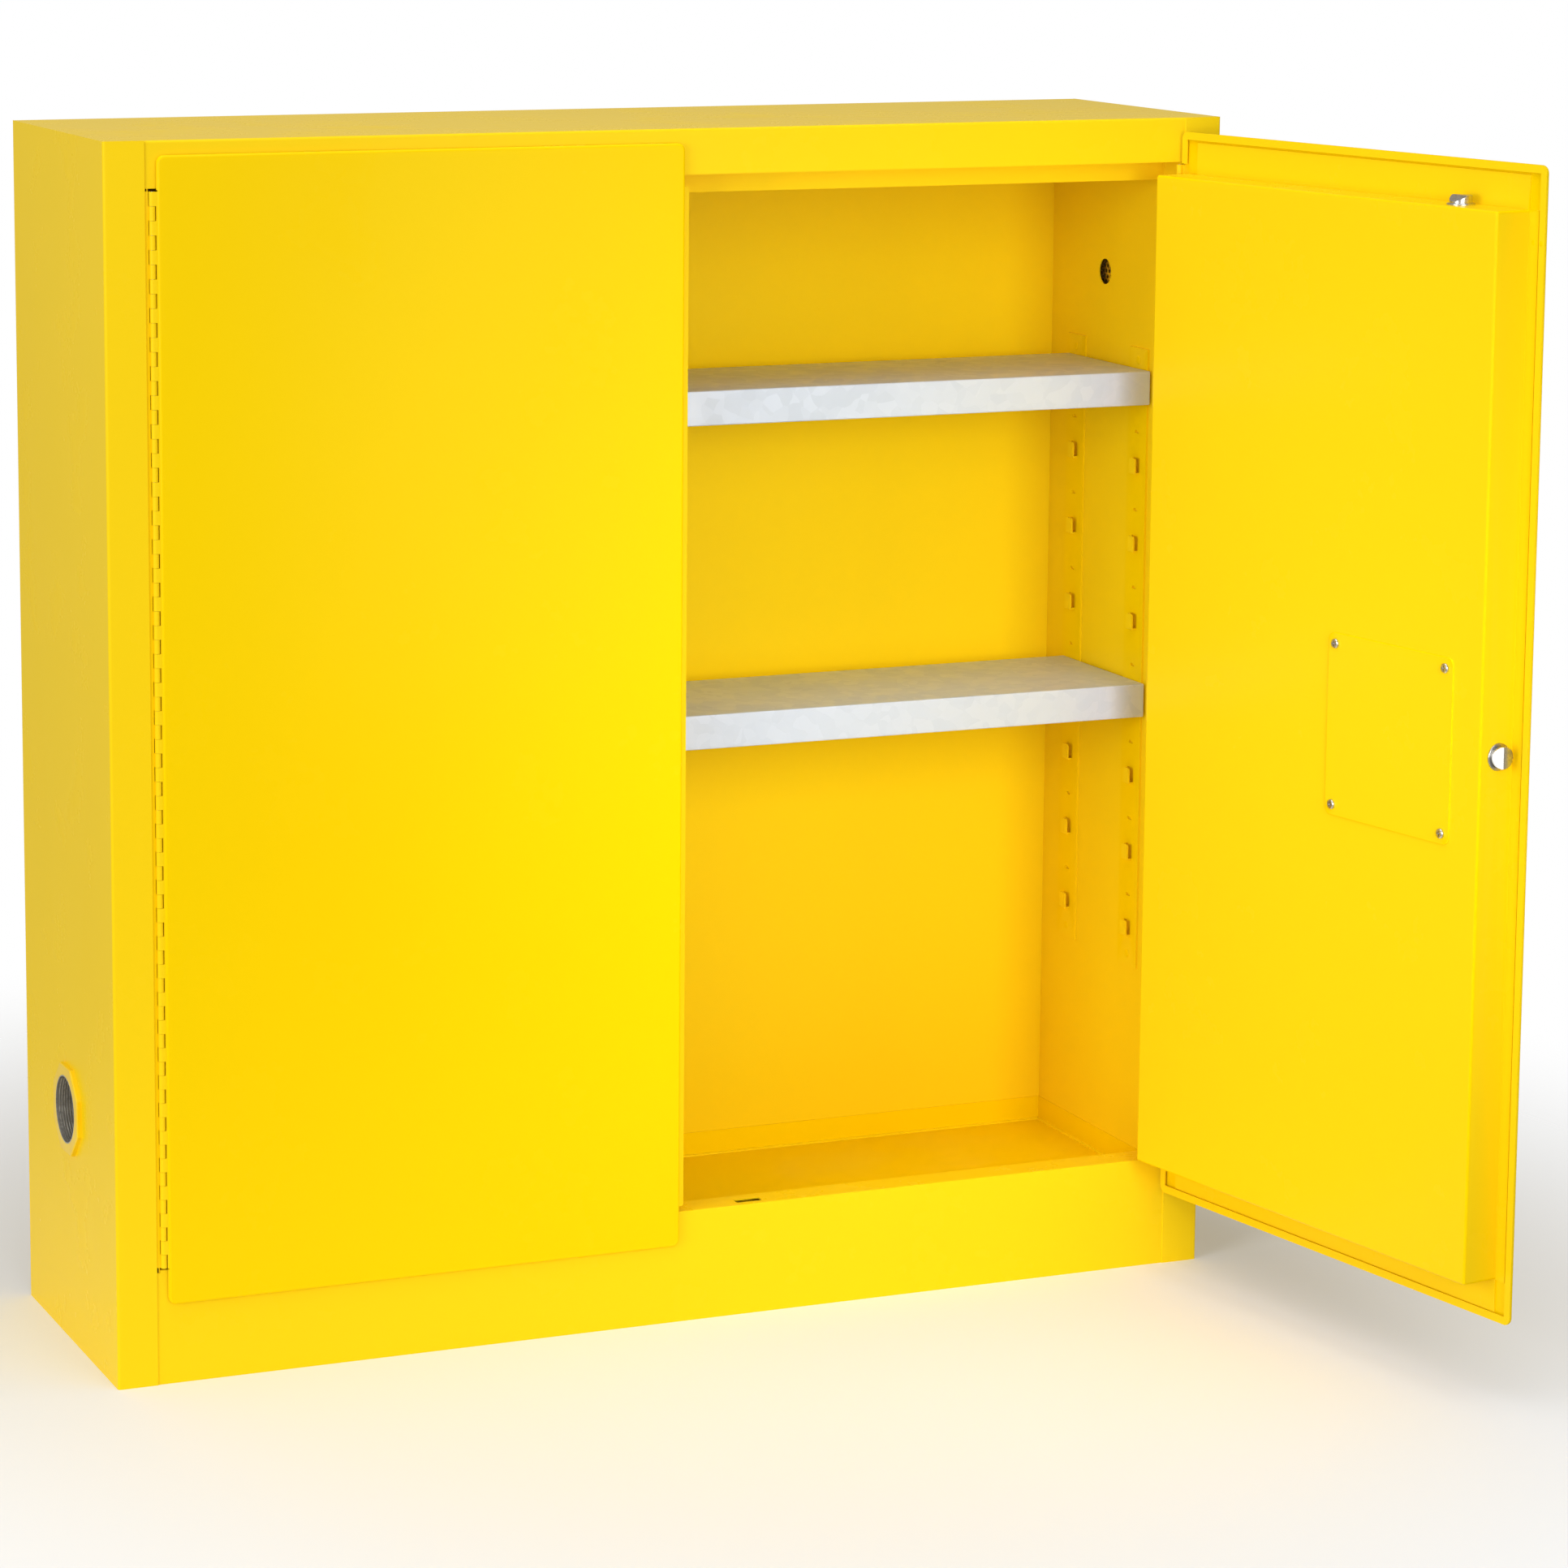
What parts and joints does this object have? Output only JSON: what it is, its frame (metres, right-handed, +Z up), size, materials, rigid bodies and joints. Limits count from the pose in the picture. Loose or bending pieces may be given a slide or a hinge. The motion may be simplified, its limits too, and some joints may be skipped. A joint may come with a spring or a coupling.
{
  "type": "flammable storage cabinet",
  "caption": "Slim double-wall steel safety cabinet with two manual doors, recessed T-handle latch, hook-hung shelves, sump floor and side vents.",
  "frame": {"origin": "middle of the footprint, on the floor", "axes": "+Z up, +X to the right as seen from the front, doors face -Y"},
  "size_m": [1.1439, 0.8011, 1.118],
  "materials": {
    "yellow_coat": "glossy powder coat over 18 gauge steel",
    "inner_coat": "glossy powder coat on the liner",
    "galvanised": "galvanised sheet, faint spangle",
    "hinge_steel": "painted steel piano hinge",
    "pin_steel": "plain steel",
    "bright_chrome": "bright plated",
    "zinc": "zinc plated",
    "black_paint": "black moulding",
    "dark_cast": "black coated casting",
    "brass_mesh": "fire-baffle disc"
  },
  "bodies": {
    "cabinet": {"right_stile": "yellow_coat", "left_stile": "yellow_coat", "outer_right_side": "yellow_coat", "outer_left_side": "yellow_coat", "top_panel": "yellow_coat", "outer_back": "yellow_coat", "outer_bottom": "yellow_coat", "soffit": "yellow_coat", "sill": "yellow_coat", "front_base_panel": "yellow_coat", "inner_right_wall": "inner_coat", "inner_left_wall": "inner_coat", "inner_back_wall": "inner_coat", "inner_ceiling": "inner_coat", "sump_pan": "inner_coat", "door_stop": "inner_coat", "side_spacers": "galvanised", "back_spacers": "galvanised", "ceiling_spacers": "galvanised", "floor_bearers": "galvanised", "right_front_standard": "inner_coat", "right_rear_standard": "inner_coat", "left_front_standard": "inner_coat", "left_rear_standard": "inner_coat", "standard_rivets": "zinc", "left_vent_port": "yellow_coat", "left_flame_screen": "brass_mesh", "right_vent_port": "yellow_coat", "right_flame_screen": "brass_mesh", "right_vent_cap": "yellow_coat", "right_fixed_leaf": "hinge_steel", "left_fixed_leaf": "hinge_steel", "right_hinge_pin": "pin_steel", "left_hinge_pin": "pin_steel"},
    "upper_shelf": {"upper_shelf": "galvanised"},
    "lower_shelf": {"lower_shelf": "galvanised"},
    "left_door": {"left_door_skin": "yellow_coat", "left_door_pan": "inner_coat", "left_moving_leaf": "hinge_steel"},
    "right_door": {"right_door_skin": "yellow_coat", "right_door_pan": "inner_coat", "right_moving_leaf": "hinge_steel", "latch_cover": "inner_coat", "cover_screws": "bright_chrome", "bolt_bushes": "bright_chrome", "rod_guides": "black_paint", "handle_dish": "dark_cast"},
    "handle": {"handle_lever": "dark_cast", "handle_shaft": "pin_steel", "latch_cam": "zinc"},
    "lock": {"lock_core": "bright_chrome"},
    "top_bolt": {"top_bolt": "bright_chrome", "top_rod": "zinc"},
    "bottom_bolt": {"bottom_bolt": "zinc", "bottom_rod": "zinc"},
    "side_bolt": {"side_bolt": "bright_chrome", "side_rod": "zinc"}
  },
  "joints": [
    {"name": "left_door_hinge", "type": "hinge", "parent": "cabinet", "child": "left_door", "pos_m": [-0.5025, -0.1529, 0.59], "axis": [0, 0, -1], "range_deg": [0, 130]},
    {"name": "right_door_hinge", "type": "hinge", "parent": "cabinet", "child": "right_door", "pos_m": [0.5025, -0.1529, 0.59], "axis": [0, 0, 1], "range_deg": [-100, 30]},
    {"name": "handle_turn", "type": "hinge", "parent": "right_door", "child": "handle", "pos_m": [0.57512, -0.56708, 0.579], "axis": [0.9848, 0.1736, 0], "range_deg": [0, 90]},
    {"name": "lock_turn", "type": "hinge", "parent": "handle", "child": "lock", "pos_m": [0.57512, -0.56708, 0.579], "axis": [0.9848, 0.1736, 0], "range_deg": [0, 90]},
    {"name": "top_bolt_slide", "type": "slide", "parent": "right_door", "child": "top_bolt", "axis": [0, 0, 1], "range_m": [0, 0.0182]},
    {"name": "bottom_bolt_slide", "type": "slide", "parent": "right_door", "child": "bottom_bolt", "axis": [0, 0, -1], "range_m": [0, 0.0182]},
    {"name": "side_bolt_slide", "type": "slide", "parent": "right_door", "child": "side_bolt", "axis": [0.1736, -0.9848, 0], "range_m": [0, 0.0182]},
    {"name": "upper_shelf_lift", "type": "slide", "parent": "cabinet", "child": "upper_shelf", "axis": [0, 0, 1], "range_m": [0, 0.02]},
    {"name": "lower_shelf_lift", "type": "slide", "parent": "cabinet", "child": "lower_shelf", "axis": [0, 0, 1], "range_m": [0, 0.02]}
  ],
  "couplings": [
    {"joint": "top_bolt_slide", "follows": "handle_turn", "m_per_rad": 0.011459},
    {"joint": "bottom_bolt_slide", "follows": "handle_turn", "m_per_rad": 0.011459},
    {"joint": "side_bolt_slide", "follows": "handle_turn", "m_per_rad": 0.011459}
  ]
}
